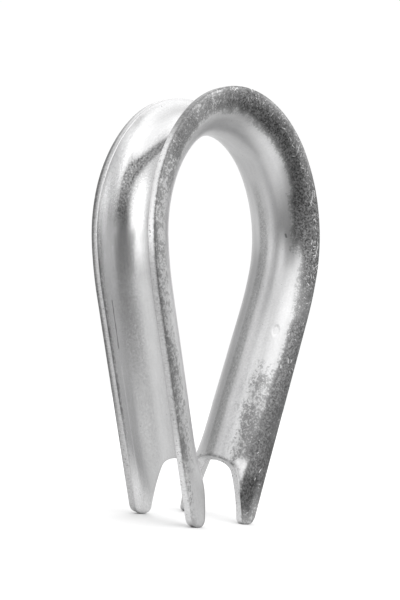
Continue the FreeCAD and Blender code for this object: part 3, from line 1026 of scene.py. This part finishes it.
WAVINESS = 0.03          # how unevenly the sheet lies after pressing
formed_mesh = form(sheet, form_tree, {
    "Bend line": bend_line,
    "Line middle": (HALF_LENGTH + BEYOND) * MM,
    "Mid radius": MID_RADIUS * MM,
    "Rise": RISE * MM,
    "Waviness": WAVINESS * MM,
    "Half length": HALF_LENGTH * MM,
    "Half strip": HALF_STRIP * MM,
    "Bent below": BENT_BELOW * MM,
    "Straight above": STRAIGHT_ABOVE * MM,
    "Material": zinc,
})
for spare in (sheet, bend_line):
    bpy.data.objects.remove(spare)
formed_mesh.shade_smooth()
thimble = bpy.data.objects.new("thimble_formed", formed_mesh)
bpy.context.scene.collection.objects.link(thimble)
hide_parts("thimble")
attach(thimble, "root")
reach = np.array([vertex.co for vertex in formed_mesh.vertices]) / MM
print(f"formed: {len(formed_mesh.polygons)} faces, {np.round(np.ptp(reach, axis=0), 2)} mm overall")

# %% [markdown]
# The camera
# The camera looks from the left of the front and from low down, so that the left leg shows its groove and
# the right leg its back. It stands close, so the nearer rim looks larger than the other, and it is rolled a
# little. Distances are in millimetres, from the middle between the feet.

# %% Place the camera
AZIMUTH, ELEVATION, ROLL = math.radians(-48.367), math.radians(-4.709), math.radians(4.581)
DISTANCE, ASIDE, TARGET_HEIGHT, LENS = 118.335, -1.404, 30.382, 50.05
back = Vector((math.sin(AZIMUTH) * math.cos(ELEVATION), -math.cos(AZIMUTH) * math.cos(ELEVATION),
               math.sin(ELEVATION)))
level_right = Vector((math.cos(AZIMUTH), math.sin(AZIMUTH), 0))
level_up = back.cross(level_right)
right = level_right * math.cos(ROLL) + level_up * math.sin(ROLL)
up = level_up * math.cos(ROLL) - level_right * math.sin(ROLL)
eye = level_right * ASIDE + Vector((0, 0, TARGET_HEIGHT)) + back * DISTANCE
camera_data = bpy.data.cameras.new("camera")
camera_data.lens = LENS
camera_data.clip_start = 0.005
camera = bpy.data.objects.new("camera", camera_data)
camera.matrix_world = Matrix.Translation(eye * MM) @ Matrix((right, up, back)).transposed().to_4x4()
bpy.context.scene.collection.objects.link(camera)
bpy.context.scene.camera = camera
print(f"camera: {LENS} mm lens, {DISTANCE:.0f} mm away")

# %% [markdown]
# The stage
# White metal has no look of its own: it shows the room. Lamps would put small hard lights on it, so the room
# is a white surround with broad soft lights, the largest overhead in front, and softer shades between them.
# The camera sees only white behind the piece.

# %% Surround
SURROUND, SEEN_WHITE = 0.8, 1.02      # what the metal mirrors, and what the camera sees
# Azimuth and elevation of the middle, half width and half height, all in degrees, and how much lighter.
LIGHTS = [
    (-88, 34, 34, 14, 1.1),          # above, in front
    (-62, 21, 18, 9, 0.5),           # in front, to the right
    (-60, 72, 39, 17, 0.6),          # overhead
    (179, 9, 17, 28, 1.55),          # at the left
    (48, 0, 44, 16, 0.3),            # behind, at the right
    (60, 58, 25, 18, 0.8),           # above, behind
    (-135, 0, 19, 17, -0.85),        # a shade beside the camera
    (-58, -6, 26, 8, -0.7),          # a shade low in front
    (22, 48, 22, 18, 0.8),           # above, at the right
    (90, 17, 30, 11, -0.45),         # a shade behind
]


def soft_light(w, towards, azimuth, elevation, half_width, half_height):
    """How much one soft light fills each direction: a flat-topped bell from 0 to 1. Angles in radians."""
    ahead = Vector((math.cos(azimuth) * math.cos(elevation), math.sin(azimuth) * math.cos(elevation),
                    math.sin(elevation)))
    aside = Vector((-math.sin(azimuth), math.cos(azimuth), 0))
    above = ahead.cross(aside)
    turn = w.math("ARCTAN2", w.vector("DOT_PRODUCT", towards, tuple(aside)),
                  w.vector("DOT_PRODUCT", towards, tuple(ahead)))
    rise = w.math("ARCSINE", w.vector("DOT_PRODUCT", towards, tuple(above)))
    wide = w.math("POWER", w.math("DIVIDE", turn, half_width), 2.0)
    high = w.math("POWER", w.math("DIVIDE", rise, half_height), 2.0)
    return w.math("EXPONENT", w.times(w.math("POWER", w.plus(wide, high), 1.5), -0.5))


def surround_tree(tree):
    """Fills a world's tree with the surround: white to the camera, soft lights and shades to all else."""
    w = Wires(tree)
    towards = w.node("ShaderNodeTexCoord").outputs["Generated"]
    level = SURROUND
    for *angles, lighter in LIGHTS:
        level = w.plus(level, w.times(soft_light(w, towards, *map(math.radians, angles)), lighter))
    level = w.math("MAXIMUM", level, 0.0)
    seen = w.node("ShaderNodeLightPath").outputs["Is Camera Ray"]
    background = tree.nodes["Background"]
    w.join(w.mixed(level, SEEN_WHITE, seen), background.inputs["Strength"])
    background.inputs["Color"].default_value = (1, 1, 1, 1)


world = bpy.data.worlds.new("studio")
bpy.context.scene.world = world
world.use_nodes = True
surround_tree(world.node_tree)
bpy.context.scene.view_settings.view_transform = "Standard"
print(f"surround: {len(LIGHTS)} soft lights and shades")

# %% [markdown]
# The floor
# The floor is white paper. The piece stands on its longest tips, so the paper tilts a little to meet the
# shorter ones. The legs mirror the paper from low down, so the paper is given a painted glow for them to
# mirror: white beside the piece, a painted pool of light in front, brighter far at the left, a painted
# shadow of the camera, and darker in front. To the camera the paper stays white, with a soft shadow and a
# little painted shade right beside the tips.

# %% Paper and its painted glow
FLOOR_HALF = 2.0
FLOOR_TILT, FLOOR_LEVEL = math.radians(2.6), -0.06
# The painted glow of the plain paper, of its painted shades, and as the camera sees it; then what each
# painted light adds.
PLAIN_GLOW, FRONT_GLOW, SHADE_GLOW, SEEN_GLOW = 0.74, 0.2, 0.28, 1.2
LEFT_ADDS, FAR_LEFT_ADDS, LIGHT_POOL_ADDS = 0.18, 0.9, 0.35
PAPER_WHITE, SHADE_REACH, GLOW_SHARE = 0.85, 0.007, 0.35


def mirrored_glow(w):
    """The painted glow that the metal mirrors at each place of the floor. Places are in metres."""
    spot = w.node("ShaderNodeNewGeometry").outputs["Position"]
    at = w.parts(spot)

    def within(middle, inner, outer):
        """1 within a round spot of the floor, fading to 0."""
        away = w.vector("MULTIPLY", w.vector("SUBTRACT", spot, middle), (1.0, 1.0, 0.0))
        return w.step(w.vector("LENGTH", away), outer, inner)

    # Painted light on the paper: brighter at the left, and much brighter far at the left.
    left = w.times(w.step(at["X"], -0.005, -0.05), w.step(at["Y"], -0.045, -0.01))
    left = w.times(left, w.mixed(0.4, 1.0, w.step(at["Y"], 0.07, 0.02)))
    far_left = w.times(left, w.step(at["X"], -0.08, -0.2))
    # A painted pool of light on the paper in front of the piece.
    under = within((0.0, -0.03, 0.0), 0.005, 0.06)
    glow = w.plus(PLAIN_GLOW, w.times(left, LEFT_ADDS), w.times(far_left, FAR_LEFT_ADDS),
                  w.times(under, LIGHT_POOL_ADDS))
    # A painted shadow of the camera on the paper.
    glow = w.mixed(glow, SHADE_GLOW, within((-0.085, -0.07, 0.0), 0.02, 0.075))
    # Painted shade on the paper in front.
    front = w.times(w.minus(1.0, within((0.0, 0.0, 0.0), 0.078, 0.1)), w.step(at["Y"], -0.01, -0.045))
    from_right = w.plus(at["X"], w.times(at["Y"], 1.8))
    return w.mixed(glow, FRONT_GLOW, w.times(front, w.step(from_right, 0.06, -0.01)))


def paper_material():
    """White paper, with the painted glow that the metal mirrors."""
    material = bpy.data.materials.new("white_paper")
    material.use_nodes = True
    w = Wires(material.node_tree)
    ray = w.node("ShaderNodeLightPath").outputs
    # The glow is dimmed where the piece closes in above the paper: painted shade right beside the tips, seen
    # by the camera and the metal alike.
    open_share = w.node("ShaderNodeAmbientOcclusion", {"Distance": SHADE_REACH}, samples=8).outputs["AO"]
    strength = w.times(open_share, w.mixed(mirrored_glow(w), SEEN_GLOW, ray["Is Camera Ray"]))
    glow = w.node("ShaderNodeEmission", {"Color": (1, 1, 1, 1), "Strength": strength})
    diffuse = w.node("ShaderNodeBsdfDiffuse", {"Color": (PAPER_WHITE, PAPER_WHITE, PAPER_WHITE, 1)})
    blend = w.node("ShaderNodeMixShader", {0: w.mixed(GLOW_SHARE, 1.0, ray["Is Glossy Ray"])})
    w.join(diffuse.outputs[0], blend.inputs[1])
    w.join(glow.outputs[0], blend.inputs[2])
    w.join(blend.outputs[0], material.node_tree.nodes["Material Output"].inputs["Surface"])
    return material


floor_mesh = bpy.data.meshes.new("floor")
floor_mesh.from_pydata([(-FLOOR_HALF, -FLOOR_HALF, 0), (FLOOR_HALF, -FLOOR_HALF, 0),
                        (FLOOR_HALF, FLOOR_HALF, 0), (-FLOOR_HALF, FLOOR_HALF, 0)], [], [(0, 1, 2, 3)])
floor_mesh.materials.append(paper_material())
floor = bpy.data.objects.new("floor", floor_mesh)
floor.matrix_world = Matrix.Translation((0, 0, FLOOR_LEVEL * MM)) @ Matrix.Rotation(FLOOR_TILT, 4, "Y")
bpy.context.scene.collection.objects.link(floor)
print(f"floor: tilted by {math.degrees(FLOOR_TILT):.1f} degrees")

# %% [markdown]
# A lamp for the shadow
# The surround lights the paper from everywhere, so its shadow is faint. One broad, weak lamp at the right
# gives it a direction. It is hidden from mirrored rays, so the metal shows the surround alone.

# %% Soft lamp
LAMP_AZIMUTH, LAMP_ELEVATION, LAMP_SPREAD = math.radians(-65), math.radians(52), math.radians(75)
LAMP_STRENGTH = 0.7
lamp_data = bpy.data.lights.new("soft_lamp", "SUN")
lamp_data.energy = LAMP_STRENGTH
lamp_data.angle = LAMP_SPREAD
lamp = bpy.data.objects.new("soft_lamp", lamp_data)
from_lamp = Vector((math.cos(LAMP_AZIMUTH), math.sin(LAMP_AZIMUTH), math.tan(LAMP_ELEVATION)))
lamp.rotation_euler = from_lamp.to_track_quat("Z", "Y").to_euler()
lamp.visible_glossy = False
bpy.context.scene.collection.objects.link(lamp)
print(f"lamp: {LAMP_STRENGTH} strong, {math.degrees(LAMP_SPREAD):.0f} degrees wide")
